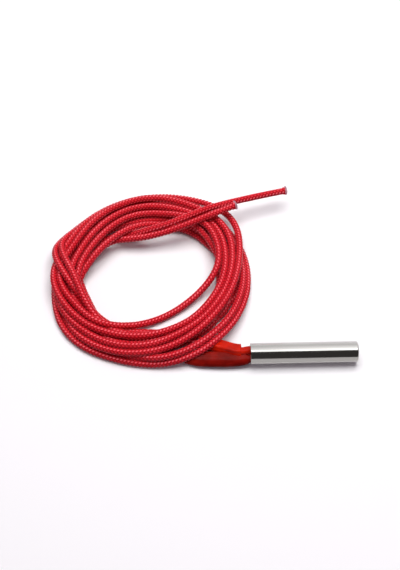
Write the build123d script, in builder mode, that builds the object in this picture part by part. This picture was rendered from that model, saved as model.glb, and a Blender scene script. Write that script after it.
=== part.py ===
from build123d import *
from math import cos, pi, radians, sin, tan
import os

# A cartridge heater lying on a flat surface: a steel sheath along X with its closed tip towards +X,
# and two braided leads that leave its mouth towards -X and are wound into one loose coil.
# The origin is on the surface, under the middle of the sheath. All sizes are in millimetres.

# Sheath and its closed tip
sheath_diameter = 6.0
sheath_length = 30.0
sheath_wall = 0.45
mouth_rounding = 0.1
mouth_bevel = 0.15
tip_thickness = 0.8
tip_rounding = 0.5
tip_spigot_depth = 0.6
tip_spigot_clearance = 0.02

# Ceramic pieces
ceramic_clearance = 0.05
spacer_thickness = 1.0
core_diameter = 3.0
bead_thickness = 1.0
bead_hole_clearance = 0.1
seal_length = 2.3
seal_recess = 0.2
seal_clearance = 0.02

# Terminal pins and the winding
pin_diameter = 0.6
pin_clearance = 0.05
pin_spacing = 1.6
pin_reach = 2.4
wire_diameter = 0.3
winding_turns = 7.5
corners_per_turn = 6
winding_clearance = 0.02
notch_clearance = 0.08
powder_clearance = 0.02

# Crimp ferrules
ferrule_diameter = 1.2
ferrule_length = 3.2
ferrule_clearance = 0.02
ferrule_pin_depth = 1.5
crimp_depth = 0.1
crimp_width = 0.5

# Leads
lead_diameter = 2.0
conductor_diameter = 0.8
insulation_diameter = 1.4
lead_spacing = 2.44
pair_tilt = 35.0
lead_end_gap = 0.05
conductor_bend_radius = 0.9
conductor_crossing = 1.5
conductor_grip = 1.2
root_bore_depth = 2.0
tip_bore_depth = 3.0
layer_clearance = 0.02
insulation_stand_out = 0.25
conductor_stand_out = 0.7
bend_share = 0.45

# Sleeves over the leads
sleeve_clearance = 0.03
sleeve_wall = 0.15
outer_sleeve_wall = 0.4
outer_sleeve_gap = 2.5
outer_sleeve_length = 8.0
inner_sleeve_overlap = 4.0
swelled_sleeve_length = 13.0
sleeve_swell = 0.2

# Coil of both leads: a low ring with sloping shoulders, like the pile of turns
coil_centre = (-43.3, 27.5)
coil_outer_radius = 29.4
coil_inner_radius = 20.2
coil_height = 6.2
outer_shoulder = 2.6
inner_shoulder = 1.8

# Routes of the leads where they aren't coiled, as (x, y, z). The roots start at the mouth bead.
root_routes = {
    "a": [(-15.8, 1.0, 3.7), (-19.5, 1.9, 3.05), (-23.8, 2.2, 2.3), (-28.2, 2.9, 1.7), (-32.0, 4.8, 1.5)],
    "b": [(-15.9, -1.0, 2.3), (-20.2, -1.6, 1.75), (-25.5, -1.4, 1.6), (-30.6, -0.4, 1.3), (-34.8, 2.0, 1.3)],
}
inner_turn_route = [
    (-20.6, 33.5, 4.7), (-22.9, 27.0, 4.1), (-27.2, 19.6, 3.5), (-32.9, 14.6, 3.1), (-39.0, 11.7, 3.1),
    (-45.4, 10.2, 3.5), (-52.0, 10.3, 4.3), (-57.5, 12.6, 5.1),
]
end_routes = {
    "a": [
        (-62.4, 36.6, 5.2), (-57.6, 40.3, 5.5), (-51.6, 41.2, 5.8), (-45.0, 41.6, 6.5), (-38.7, 42.7, 7.4),
        (-32.4, 45.3, 7.9), (-26.2, 48.4, 7.8), (-19.9, 51.0, 7.2), (-13.9, 52.9, 6.8), (-7.6, 54.7, 6.6),
        (-1.6, 56.2, 6.4),
    ],
    "b": [
        (-63.6, 32.6, 3.2), (-60.6, 36.6, 3.3), (-56.1, 39.7, 3.3), (-50.6, 40.9, 3.5), (-44.8, 40.8, 4.4),
        (-38.8, 41.4, 5.6), (-32.8, 42.6, 7.2), (-27.2, 44.8, 8.0), (-22.1, 47.1, 8.2), (-17.4, 49.3, 8.1),
    ],
}

# Stations along the sheath, from tip to mouth
axis_height = sheath_diameter / 2
sheath_radius = sheath_diameter / 2
bore_radius = sheath_radius - sheath_wall
mouth_x = -sheath_length / 2
tube_end_x = sheath_length / 2 - tip_thickness
spigot_end_x = tube_end_x - tip_spigot_depth
core_end_x = spigot_end_x - spacer_thickness
seal_face_x = mouth_x + seal_recess
bead_face_x = seal_face_x + seal_length
bead_end_x = bead_face_x + bead_thickness
lead_start_x = bead_face_x - lead_end_gap
ferrule_start_x = bead_end_x + conductor_crossing
ferrule_end_x = ferrule_start_x + ferrule_length
pin_start_x = ferrule_end_x - ferrule_pin_depth
core_start_x = pin_start_x + pin_reach
core_length = core_end_x - core_start_x
conductor_start_x = ferrule_start_x + conductor_grip
conductor_end_x = lead_start_x - root_bore_depth

# Radii that follow from the sizes above
core_radius = core_diameter / 2
pin_radius = pin_diameter / 2
pin_offset = pin_spacing / 2
wire_radius = wire_diameter / 2
winding_radius = core_radius + winding_clearance + wire_radius
winding_corner_radius = winding_radius / cos(pi / corners_per_turn)
winding_inset = wire_radius + notch_clearance
winding_length = core_length - 2 * winding_inset
powder_inner_radius = winding_corner_radius + wire_radius + powder_clearance
lead_radius = lead_diameter / 2
lead_offset = lead_spacing / 2
conductor_radius = conductor_diameter / 2
insulation_radius = insulation_diameter / 2
sleeve_bore_radius = lead_radius + sleeve_clearance
sleeve_radius = sleeve_bore_radius + sleeve_wall
outer_sleeve_bore_radius = sleeve_radius + sleeve_clearance
outer_sleeve_radius = outer_sleeve_bore_radius + outer_sleeve_wall

# The two leads, pins and ferrules lie either side of the axis, on a line tilted by pair_tilt.
pair_direction = (0, cos(radians(pair_tilt)), sin(radians(pair_tilt)))
pair_plane = Plane(
    origin=(0, 0, axis_height), x_dir=(1, 0, 0), z_dir=(0, -sin(radians(pair_tilt)), cos(radians(pair_tilt)))
)
sides = {"a": 1, "b": -1}


def station(x):
    """A section plane across the sheath at x, its local x along the line of the pair."""
    return Plane(origin=(x, 0, axis_height), x_dir=pair_direction, z_dir=(1, 0, 0))


def finish(part, name):
    """Labels a finished piece and writes it as its own file."""
    part.label = name
    export_step(part, f"parts/{name}.step")


def bend_radii(points):
    """One radius for each corner of a route: as large as its two runs allow."""
    corners = [Vector(*p) for p in points]
    radii = []
    for before, corner, after in zip(corners, corners[1:], corners[2:]):
        run_in = corner - before
        run_out = after - corner
        half_turn = radians(run_in.get_angle(run_out)) / 2
        radii.append(bend_share * min(run_in.length, run_out.length) / tan(half_turn))
    return radii


def route_line(points):
    """The line of a lead: straight runs joined by tangent arcs."""
    with BuildLine() as path:
        FilletPolyline(*points, radius=bend_radii(points))
    return path.wires()[0]


def tube_along(points, radius, name):
    """A round bar along a route, with its volume compared with section times length."""
    line = route_line(points)
    with BuildPart() as bar:
        with BuildSketch(Plane(origin=line @ 0, z_dir=line % 0)):
            Circle(radius)
        sweep(path=line)
    share = bar.part.volume / (pi * radius**2 * line.length)
    rounded = [round(r, 1) for r in bend_radii(points)]
    print(name, "radii", rounded, "length", round(line.length, 1), "volume share", round(share, 4))
    return bar.part


def slab(start_x, end_x):
    """Everything between two stations, to cut a length out of a bar."""
    size = 4 * outer_sleeve_radius + 2 * axis_height
    with BuildPart() as block:
        with BuildSketch(Plane.YZ.offset(start_x)):
            Rectangle(2 * size, 2 * size)
        extrude(amount=end_x - start_x)
    return block.part


os.makedirs("parts", exist_ok=True)

# Sheath: a drawn tube, open at both ends
with BuildPart() as sheath:
    with BuildSketch(station(mouth_x)):
        Circle(sheath_radius)
        Circle(bore_radius, mode=Mode.SUBTRACT)
    extrude(amount=tube_end_x - mouth_x)
    mouth_edges = sheath.edges().filter_by(GeomType.CIRCLE).group_by(Axis.X)[0].sort_by(SortBy.RADIUS)
    chamfer(mouth_edges[0], mouth_bevel)
    fillet(mouth_edges[-1], mouth_rounding)
finish(sheath.part, "sheath")

# Tip disc: welded over the tube's end, with a spigot in its bore
with BuildPart() as tip_disc:
    with BuildSketch(station(tube_end_x)):
        Circle(sheath_radius)
    extrude(amount=tip_thickness)
    fillet(tip_disc.edges().group_by(Axis.X)[-1], tip_rounding)
    with BuildSketch(station(tube_end_x)):
        Circle(bore_radius - tip_spigot_clearance)
    extrude(amount=-tip_spigot_depth)
finish(tip_disc.part, "tip_disc")

# Tip spacer: keeps the hot core off the tip disc
with BuildPart() as tip_spacer:
    with BuildSketch(station(core_end_x)):
        Circle(bore_radius - ceramic_clearance)
    extrude(amount=spacer_thickness)
finish(tip_spacer.part, "tip_spacer")

# Core: a two-hole ceramic rod, notched at each end where the winding turns in to its pin
with BuildPart() as core:
    with BuildSketch(station(core_start_x)):
        Circle(core_radius)
        with GridLocations(pin_spacing, 0, 2, 1):
            Circle(pin_radius + pin_clearance, mode=Mode.SUBTRACT)
    extrude(amount=core_length)
    notch_width = wire_diameter + 2 * notch_clearance
    notch_depth = wire_diameter + 2 * notch_clearance
    for notch_x, reach, side in ((core_start_x, notch_depth, 1), (core_end_x, -notch_depth, -1)):
        with BuildSketch(station(notch_x)):
            with Locations((side * (pin_offset + core_radius) / 2, 0)):
                Rectangle(core_radius - pin_offset, notch_width)
        extrude(amount=reach, mode=Mode.SUBTRACT)
finish(core.part, "core")

# Winding: resistance wire round the core, each end turned in to meet its pin.
# Its corners lie on a helix about the core's axis, half a step on from the turned-in ends.
winding_corners = round(winding_turns * corners_per_turn)
winding_route = []
for corner in range(winding_corners):
    turn = (corner + 0.5) / corners_per_turn
    winding_route.append((
        winding_corner_radius * cos(2 * pi * turn),
        winding_corner_radius * sin(2 * pi * turn),
        winding_length * turn / winding_turns,
    ))
pin_face = pin_offset + pin_radius
winding_route = [
    (pin_face, 0, 0), (winding_radius, 0, 0),
    *winding_route,
    (-winding_radius, 0, winding_length), (-pin_face, 0, winding_length),
]
winding_station = station(core_start_x + winding_inset)
winding = tube_along(
    [tuple(winding_station.from_local_coords(point)) for point in winding_route], wire_radius, "winding")
finish(winding, "winding")

# Powder fill: compacted magnesia between the winding and the sheath
with BuildPart() as powder_fill:
    with BuildSketch(station(core_start_x)):
        Circle(bore_radius)
        Circle(powder_inner_radius, mode=Mode.SUBTRACT)
    extrude(amount=core_length)
finish(powder_fill.part, "powder_fill")

# Mouth bead: a ceramic disc that holds the two conductors apart
with BuildPart() as mouth_bead:
    with BuildSketch(station(bead_face_x)):
        Circle(bore_radius - ceramic_clearance)
        with GridLocations(lead_spacing, 0, 2, 1):
            Circle(conductor_radius + bead_hole_clearance, mode=Mode.SUBTRACT)
    extrude(amount=bead_thickness)
finish(mouth_bead.part, "mouth_bead")

# Mouth seal: cement round the two sleeves, just inside the mouth
with BuildPart() as mouth_seal:
    with BuildSketch(station(seal_face_x)):
        Circle(bore_radius)
        with GridLocations(lead_spacing, 0, 2, 1):
            Circle(sleeve_radius + seal_clearance, mode=Mode.SUBTRACT)
    extrude(amount=seal_length)
finish(mouth_seal.part, "mouth_seal")

# Terminal pins, crimp ferrules and the conductors inside the sheath
for side_name, side in sides.items():
    with BuildPart() as pin:
        with BuildSketch(station(pin_start_x)):
            with Locations((side * pin_offset, 0)):
                Circle(pin_radius)
        extrude(amount=core_end_x - pin_start_x)
    finish(pin.part, f"terminal_pin_{side_name}")

    ferrule_radius = ferrule_diameter / 2
    ferrule_split_x = (conductor_start_x + pin_start_x) / 2
    ferrule_plane = Plane(
        origin=station(ferrule_start_x).from_local_coords((side * pin_offset, 0, 0)),
        x_dir=(1, 0, 0), z_dir=pair_plane.z_dir,
    )
    split = ferrule_split_x - ferrule_start_x
    with BuildPart() as ferrule:
        with BuildSketch(ferrule_plane) as ferrule_profile:
            with BuildLine():
                Polyline(
                    (0, conductor_radius + ferrule_clearance),
                    (split, conductor_radius + ferrule_clearance),
                    (split, pin_radius + ferrule_clearance),
                    (ferrule_length, pin_radius + ferrule_clearance),
                    (ferrule_length, ferrule_radius),
                    (0, ferrule_radius),
                    close=True,
                )
            make_face()
            with Locations((split / 2, ferrule_radius), ((split + ferrule_length) / 2, ferrule_radius)):
                Rectangle(crimp_width, 2 * crimp_depth, mode=Mode.SUBTRACT)
        revolve(axis=Axis(ferrule_plane.origin, (1, 0, 0)))
    finish(ferrule.part, f"crimp_ferrule_{side_name}")

    with BuildPart() as conductor_root:
        with BuildLine(pair_plane) as root_path:
            FilletPolyline(
                (conductor_start_x, side * pin_offset),
                (ferrule_start_x - layer_clearance, side * pin_offset),
                (bead_end_x, side * lead_offset),
                (conductor_end_x, side * lead_offset),
                radius=conductor_bend_radius,
            )
        with BuildSketch(Plane(origin=root_path.line @ 0, z_dir=root_path.line % 0)):
            Circle(conductor_radius)
        sweep()
    finish(conductor_root.part, f"conductor_{side_name}_root")

# Coil: both leads wound together, as one ring with the outer shape of the pile of turns
with BuildPart() as coil:
    with BuildSketch(Plane(origin=(*coil_centre, 0), x_dir=(1, 0, 0), z_dir=(0, -1, 0))):
        with BuildLine():
            Polyline(
                (coil_inner_radius, 0),
                (coil_outer_radius, 0),
                (coil_outer_radius, coil_height - outer_shoulder),
                (coil_outer_radius - outer_shoulder, coil_height),
                (coil_inner_radius + inner_shoulder, coil_height),
                (coil_inner_radius, coil_height - inner_shoulder),
                close=True,
            )
        make_face()
    revolve(axis=Axis((*coil_centre, 0), (0, 0, 1)))
finish(coil.part, "lead_coil")

# The turn that bridges the inside of the coil, cut off where it joins the ring
inner_turn_bar = tube_along(inner_turn_route, lead_radius, "inner turn")
with BuildPart() as inner_turn:
    add(inner_turn_bar)
    add(coil.part, mode=Mode.SUBTRACT)
finish(inner_turn.part.solids().sort_by(SortBy.VOLUME)[-1], "lead_inner_turn")

# Lead roots: from the bead through the sleeves to the coil, bored for their conductors
for side_name, side in sides.items():
    start = tuple(station(lead_start_x).from_local_coords((side * lead_offset, 0, 0)))
    root_routes[side_name].insert(0, start)
    root_bar = tube_along(root_routes[side_name], lead_radius, f"lead {side_name} root")
    with BuildPart() as lead_root:
        add(root_bar)
        add(coil.part, mode=Mode.SUBTRACT)
        with BuildSketch(station(lead_start_x)):
            with Locations((side * lead_offset, 0)):
                Circle(conductor_radius + layer_clearance)
        extrude(amount=-root_bore_depth, mode=Mode.SUBTRACT)
    finish(lead_root.part.solids().sort_by(SortBy.VOLUME)[-1], f"lead_{side_name}_root")

# Sleeves of even wall: a thin one through the seal on lead a, and a thicker one over it
outer_sleeve_end_x = mouth_x - outer_sleeve_gap
even_sleeves = {
    "sleeve_a_inner": (
        sleeve_bore_radius, sleeve_radius,
        outer_sleeve_end_x - inner_sleeve_overlap, lead_start_x,
    ),
    "sleeve_a_outer": (
        outer_sleeve_bore_radius, outer_sleeve_radius,
        outer_sleeve_end_x - outer_sleeve_length, outer_sleeve_end_x,
    ),
}
for sleeve_name, (inside_radius, outside_radius, start_x, end_x) in even_sleeves.items():
    outside = tube_along(root_routes["a"], outside_radius, sleeve_name)
    inside = tube_along(root_routes["a"], inside_radius, sleeve_name + " bore")
    length_block = slab(start_x, end_x)
    with BuildPart() as even_sleeve:
        add(outside)
        add(inside, mode=Mode.SUBTRACT)
        add(length_block, mode=Mode.INTERSECT)
        add(coil.part, mode=Mode.SUBTRACT)
    finish(even_sleeve.part, sleeve_name)

# Sleeve of lead b: shrunk at the mouth and swelling towards its middle
line_b = route_line(root_routes["b"])
bore_b = tube_along(root_routes["b"], sleeve_bore_radius, "sleeve_b bore")
mouth_reach = lead_start_x - mouth_x
with BuildPart() as sleeve_b:
    for reach, swell in ((0, 0), (mouth_reach, 0), (mouth_reach + swelled_sleeve_length / 2, sleeve_swell),
                         (mouth_reach + swelled_sleeve_length, 0)):
        place = reach / line_b.length
        with BuildSketch(Plane(origin=line_b @ place, z_dir=line_b % place)):
            Circle(sleeve_radius + swell)
    loft()
    add(bore_b, mode=Mode.SUBTRACT)
    add(coil.part, mode=Mode.SUBTRACT)
finish(sleeve_b.part, "sleeve_b")

# Lead ends: out of the coil, over its far side and on to the cut tips
for side_name, route in end_routes.items():
    tip = Vector(*route[-1])
    tip_direction = (tip - Vector(*route[-2])).normalized()
    tip_plane = Plane(origin=tip, z_dir=tip_direction)
    end_bar = tube_along(route, lead_radius, f"lead {side_name} end")
    with BuildPart() as lead_end:
        add(end_bar)
        add(coil.part, mode=Mode.SUBTRACT)
        with BuildSketch(tip_plane):
            Circle(insulation_radius + layer_clearance)
        extrude(amount=-tip_bore_depth, mode=Mode.SUBTRACT)
    finish(lead_end.part.solids().sort_by(SortBy.VOLUME)[-1], f"lead_{side_name}_end")

    with BuildPart() as insulation_tip:
        with BuildSketch(tip_plane.offset(-tip_bore_depth)):
            Circle(insulation_radius)
            Circle(conductor_radius + layer_clearance, mode=Mode.SUBTRACT)
        extrude(amount=tip_bore_depth + insulation_stand_out)
    finish(insulation_tip.part, f"insulation_{side_name}_tip")

    with BuildPart() as conductor_tip:
        with BuildSketch(tip_plane.offset(-tip_bore_depth)):
            Circle(conductor_radius)
        extrude(amount=tip_bore_depth + conductor_stand_out)
    finish(conductor_tip.part, f"conductor_{side_name}_tip")
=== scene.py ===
import math

import bpy
import numpy as np
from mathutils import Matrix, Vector


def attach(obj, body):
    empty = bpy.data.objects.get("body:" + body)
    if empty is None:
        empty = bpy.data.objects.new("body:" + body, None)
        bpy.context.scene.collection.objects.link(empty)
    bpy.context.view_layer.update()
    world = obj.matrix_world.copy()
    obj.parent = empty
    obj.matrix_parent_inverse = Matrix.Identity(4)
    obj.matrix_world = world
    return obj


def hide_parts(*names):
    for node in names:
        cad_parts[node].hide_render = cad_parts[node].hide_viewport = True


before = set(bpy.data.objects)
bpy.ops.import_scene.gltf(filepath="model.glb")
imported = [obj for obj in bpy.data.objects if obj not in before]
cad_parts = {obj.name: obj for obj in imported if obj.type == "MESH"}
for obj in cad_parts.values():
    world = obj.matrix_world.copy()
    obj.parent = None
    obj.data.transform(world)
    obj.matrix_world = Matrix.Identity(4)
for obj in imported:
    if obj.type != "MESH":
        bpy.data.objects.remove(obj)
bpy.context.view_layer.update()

# A cartridge heater on a pale table: a polished steel sheath, three silicone sleeves and a loose coil
# of two braided leads. Lengths are in metres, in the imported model's own frame, unless a note says
# millimetres.
scene = bpy.context.scene
scene.view_settings.view_transform = "Standard"


# Small helpers

def linear(red, green, blue):  # a screen colour, 0 to 255, as a shader wants it
    shares = (red / 255, green / 255, blue / 255)
    return tuple(c / 12.92 if c <= 0.04045 else ((c + 0.055) / 1.055) ** 2.4 for c in shares) + (1,)


def addObject(name, data):
    made = bpy.data.objects.new(name, data)
    scene.collection.objects.link(made)
    return made


def levelCorners(left, right, front, back, height):
    return [(left, front, height), (right, front, height), (right, back, height), (left, back, height)]


def addSheet(name, corners):  # one flat face
    mesh = bpy.data.meshes.new(name)
    mesh.from_pydata(corners, [], [(0, 1, 2, 3)])
    return addObject(name, mesh)


def setInputs(tree, node, inputs):  # a socket is wired, a plain value is set
    for key, value in inputs.items():
        if isinstance(value, bpy.types.NodeSocket):
            tree.links.new(value, node.inputs[key])
        else:
            node.inputs[key].default_value = value


def addNode(tree, kind, inputs=None, **settings):
    node = tree.nodes.new(kind)
    for key, value in settings.items():
        setattr(node, key, value)
    setInputs(tree, node, inputs or {})
    return node


def put(tree, kind, inputs=None, **settings):  # the first output of a new node
    return addNode(tree, kind, inputs, **settings).outputs[0]


def calc(tree, operation, *values):
    return put(tree, "ShaderNodeMath", dict(enumerate(values)), operation=operation)


def plus(tree, total, *values):
    for value in values:
        total = calc(tree, "ADD", total, value)
    return total


def times(tree, product, *values):
    for value in values:
        product = calc(tree, "MULTIPLY", product, value)
    return product


def aim(tree, operation, *values):  # like calc, for vectors
    return put(tree, "ShaderNodeVectorMath", dict(enumerate(values)), operation=operation)


def split(tree, vector):
    return addNode(tree, "ShaderNodeSeparateXYZ", {0: vector}).outputs


def combine(tree, x=0.0, y=0.0, z=0.0):
    return put(tree, "ShaderNodeCombineXYZ", {0: x, 1: y, 2: z})


def spread(tree, value, low, high, source=(0.3, 0.7), **settings):  # one range carried to another
    return put(tree, "ShaderNodeMapRange", {
        "Value": value, "From Min": source[0], "From Max": source[1],
        "To Min": low, "To Max": high}, **settings)


def placeRound(tree, centre, first, second, radius, angle):  # the angle runs from first to second
    parts = []
    for direction, wave in ((first, "COSINE"), (second, "SINE")):
        reach = times(tree, radius, calc(tree, wave, angle))
        parts.append(put(tree, "ShaderNodeVectorMath", {0: direction, "Scale": reach}, operation="SCALE"))
    return aim(tree, "ADD", centre, aim(tree, "ADD", *parts))


def sampleCurve(tree, path, place):  # where a curve is and points, that far along it
    return addNode(tree, "GeometryNodeSampleCurve", {"Curves": path, "Length": place}, mode="LENGTH").outputs


def sweep(tree, path, radius, sides):  # a capped round skin along curves
    ring = put(tree, "GeometryNodeCurvePrimitiveCircle", {"Resolution": sides, "Radius": radius})
    return put(tree, "GeometryNodeCurveToMesh", {"Curve": path, "Profile Curve": ring, "Fill Caps": True})


socketKinds = {
    float: "NodeSocketFloat", int: "NodeSocketInt", tuple: "NodeSocketVector", None: "NodeSocketMaterial"}


def startTree(name, inputs):  # a node group whose named inputs have the given kinds
    tree = bpy.data.node_groups.new(name, "GeometryNodeTree")
    tree.interface.new_socket(name="Geometry", in_out="INPUT", socket_type="NodeSocketGeometry")
    for label, kind in inputs.items():
        tree.interface.new_socket(name=label, in_out="INPUT", socket_type=socketKinds[kind])
    tree.interface.new_socket(name="Geometry", in_out="OUTPUT", socket_type="NodeSocketGeometry")
    return tree, tree.nodes.new("NodeGroupInput").outputs


def endTree(tree, geometry, material):
    smooth = put(tree, "GeometryNodeSetShadeSmooth", {"Geometry": geometry})
    loose = put(tree, "GeometryNodeRealizeInstances", {"Geometry": smooth})
    coloured = put(tree, "GeometryNodeSetMaterial", {"Geometry": loose, "Material": material})
    addNode(tree, "NodeGroupOutput", {"Geometry": coloured})


wallRim = {"share": 0.3, "segments": 2, "corner": 50.0}  # how a thin wall's edges are rounded


def grow(name, tree, source, values, wall=0):  # a plain mesh, made by a node group from another
    made = addObject(name, source)
    modifier = made.modifiers.new("grow", "NODES")
    modifier.node_group = tree
    for item in tree.interface.items_tree:
        if item.in_out == "INPUT" and item.name in values:
            modifier[item.identifier] = values[item.name]
    if wall:
        shell = made.modifiers.new("wall", "SOLIDIFY")
        shell.thickness, shell.offset = wall, -1
        rim = made.modifiers.new("rim", "BEVEL")
        rim.width, rim.segments = wall * wallRim["share"], wallRim["segments"]
        rim.angle_limit = math.radians(wallRim["corner"])
    settled = made.evaluated_get(bpy.context.evaluated_depsgraph_get())
    grown = bpy.data.meshes.new_from_object(settled)
    grown.name = name
    made.modifiers.clear()
    made.data = grown
    return made


def startMaterial(name):
    material = bpy.data.materials.new(name)
    material.use_nodes = True
    tree = material.node_tree
    return material, tree, tree.nodes["Principled BSDF"]


def grain(tree, scale, detail, stretch=(1, 1, 1), source="Object"):  # noise in the piece's own coordinates
    place = addNode(tree, "ShaderNodeTexCoord").outputs[source]
    stretched = put(tree, "ShaderNodeMapping", {"Vector": place, "Scale": stretch})
    return put(tree, "ShaderNodeTexNoise", {"Vector": stretched, "Scale": scale, "Detail": detail})


def blendColours(tree, share, first, second):
    return addNode(tree, "ShaderNodeMix", {0: share, 6: first, 7: second}, data_type="RGBA").outputs[2]


def ramp(tree, share, stops):  # colours at places from 0 to 1
    node = addNode(tree, "ShaderNodeValToRGB", {0: share})
    for i, (place, colour) in enumerate(stops):
        stop = node.color_ramp.elements[i] if i < 2 else node.color_ramp.elements.new(place)
        stop.position, stop.color = place, colour
    return node.outputs[0]


def bump(tree, height, strength, depth):
    return put(tree, "ShaderNodeBump", {"Height": height, "Strength": strength, "Distance": depth})


# Camera

cameraSetup = {
    "target": (-0.028446, 0.025833, 0.0),
    "distance": 0.300,
    "elevation": 55.0,
    "heading": 1.306,  # degrees clockwise from +Y
    "lens": 91.28,
    "sensor": 36.0,
    "clip": (0.01, 20),
}
camera = addObject("camera", bpy.data.cameras.new("camera"))
camera.data.sensor_fit = "HORIZONTAL"
camera.data.sensor_width = cameraSetup["sensor"]
camera.data.lens = cameraSetup["lens"]
camera.data.clip_start, camera.data.clip_end = cameraSetup["clip"]
slope = math.radians(cameraSetup["elevation"])
heading = math.radians(cameraSetup["heading"])
level = math.cos(slope)
forward = Vector((math.sin(heading) * level, math.cos(heading) * level, -math.sin(slope)))
camera.location = Vector(cameraSetup["target"]) - forward * cameraSetup["distance"]
camera.rotation_euler = forward.to_track_quat("-Z", "Y").to_euler()
scene.camera = camera
print("camera placed")


# Stage: a pale table, one soft lamp overhead, and cards that show only where a glossy surface mirrors them

stageSetup = {
    "tableSize": 3.0,
    "tableColour": (0.95, 0.95, 0.95, 1),
    "bounceColour": (0.42, 0.40, 0.43, 1),  # what the table throws back on the leads
    "roomLight": (0.26, 0.222, 0.262, 1),
    "lampSize": (0.46, 0.34),
    "lampPlace": (0.03, 0.120, 0.45),
    "lampPower": 2.48,
}
sideCard = [(-0.45, 0.001), (0.3, 0.001), (0.3, 0.3), (-0.3, 0.3)]  # y and z of its corners
cardLooks = {
    "frontCard": {
        "corners": [(-0.5, -0.45, 0.001), (0.5, -0.45, 0.001), (0.5, -0.102, 0.44), (-0.5, -0.102, 0.44)],
        "colour": (0.045, 0.042, 0.041, 1)},
    "leftCard": {"corners": [(-0.5, y, z) for y, z in sideCard], "colour": (0.06, 0.055, 0.055, 1)},
    "rightCard": {"corners": [(0.5, y, z) for y, z in sideCard], "colour": (0.06, 0.055, 0.055, 1)},
    "floorCard": {
        "corners": levelCorners(-0.1, 0.15, -0.45, -0.0045, 0.0005), "colour": (0.68, 0.665, 0.665, 1)},
    "stripCard": {"corners": levelCorners(-0.35, 0.35, -0.036, 0.03, 0.455), "colour": (3.0, 2.97, 2.93, 1)},
    "skyCard": {  # brightest at its front edge, dimmer away from the camera and towards the sheath's mouth
        "corners": levelCorners(-0.5, 0.5, -0.08, 0.96, 0.46),
        "colour": (1, 1, 1, 1), "dim": 0.75, "peak": 1.3, "fadeFrom": -0.02, "fade": -4.0,
        "sides": (0.84, 1.05), "sideRange": (0.02, 0.06)},
}


def straightRay(tree):  # 1 where the camera, a mirror or glass looks, and 0 for bounced light
    ray = addNode(tree, "ShaderNodeLightPath").outputs
    mirrored = calc(tree, "MAXIMUM", ray["Is Glossy Ray"], ray["Is Transmission Ray"])
    return calc(tree, "MAXIMUM", ray["Is Camera Ray"], mirrored)


half = stageSetup["tableSize"] / 2
table = addSheet("table", levelCorners(-half, half, -half, half, 0))
tableMaterial, tree, shader = startMaterial("paleTable")
tableLook = blendColours(tree, straightRay(tree), stageSetup["bounceColour"], stageSetup["tableColour"])
setInputs(tree, shader, {
    "Base Color": tableLook, "Roughness": 0.9, "Specular IOR Level": 0.0,
    "Normal": bump(tree, grain(tree, scale=600, detail=3), strength=0.02, depth=0.0001)})
table.data.materials.append(tableMaterial)

world = bpy.data.worlds.new("room")
world.use_nodes = True
scene.world = world
tree = world.node_tree
white = put(tree, "ShaderNodeBackground", {"Color": (1, 1, 1, 1), "Strength": 1.0})
room = put(tree, "ShaderNodeBackground", {"Color": stageSetup["roomLight"], "Strength": 1.0})
both = put(tree, "ShaderNodeMixShader", {0: straightRay(tree), 1: room, 2: white})
tree.links.new(both, tree.nodes["World Output"].inputs["Surface"])

lamp = addObject("lamp", bpy.data.lights.new("lamp", "AREA"))
lamp.data.shape = "RECTANGLE"
lamp.data.size, lamp.data.size_y = stageSetup["lampSize"]
lamp.data.energy = stageSetup["lampPower"]
lamp.location = stageSetup["lampPlace"]
lamp.visible_camera = False
lamp.visible_glossy = False

for name, look in cardLooks.items():
    material = bpy.data.materials.new(name)
    material.use_nodes = True
    tree = material.node_tree
    tree.nodes.remove(tree.nodes["Principled BSDF"])
    strength = 1.0
    if "peak" in look:
        across, back, _ = split(tree, addNode(tree, "ShaderNodeTexCoord").outputs["Object"])
        beyond = calc(tree, "SUBTRACT", back, look["fadeFrom"])
        fall = calc(tree, "EXPONENT", times(tree, beyond, look["fade"]))
        overhead = plus(tree, times(tree, fall, look["peak"]), look["dim"])
        strength = times(tree, overhead, spread(tree, across, *look["sides"], source=look["sideRange"]))
    glow = put(tree, "ShaderNodeEmission", {"Color": look["colour"], "Strength": strength})
    tree.links.new(glow, tree.nodes["Material Output"].inputs["Surface"])
    card = addSheet(name, look["corners"])
    card.data.materials.append(material)
    card.visible_camera = card.visible_diffuse = card.visible_shadow = card.visible_transmission = False
print("stage set")


# Leads: each is one line from the mouth, through the sleeves, round the coil and out to its cut end.
# A run of listed points is in metres. A run of turns is (turns from the start, radius, height, hold),
# in millimetres round the coil's centre; hold says how firmly that place keeps when the pile settles.

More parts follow.
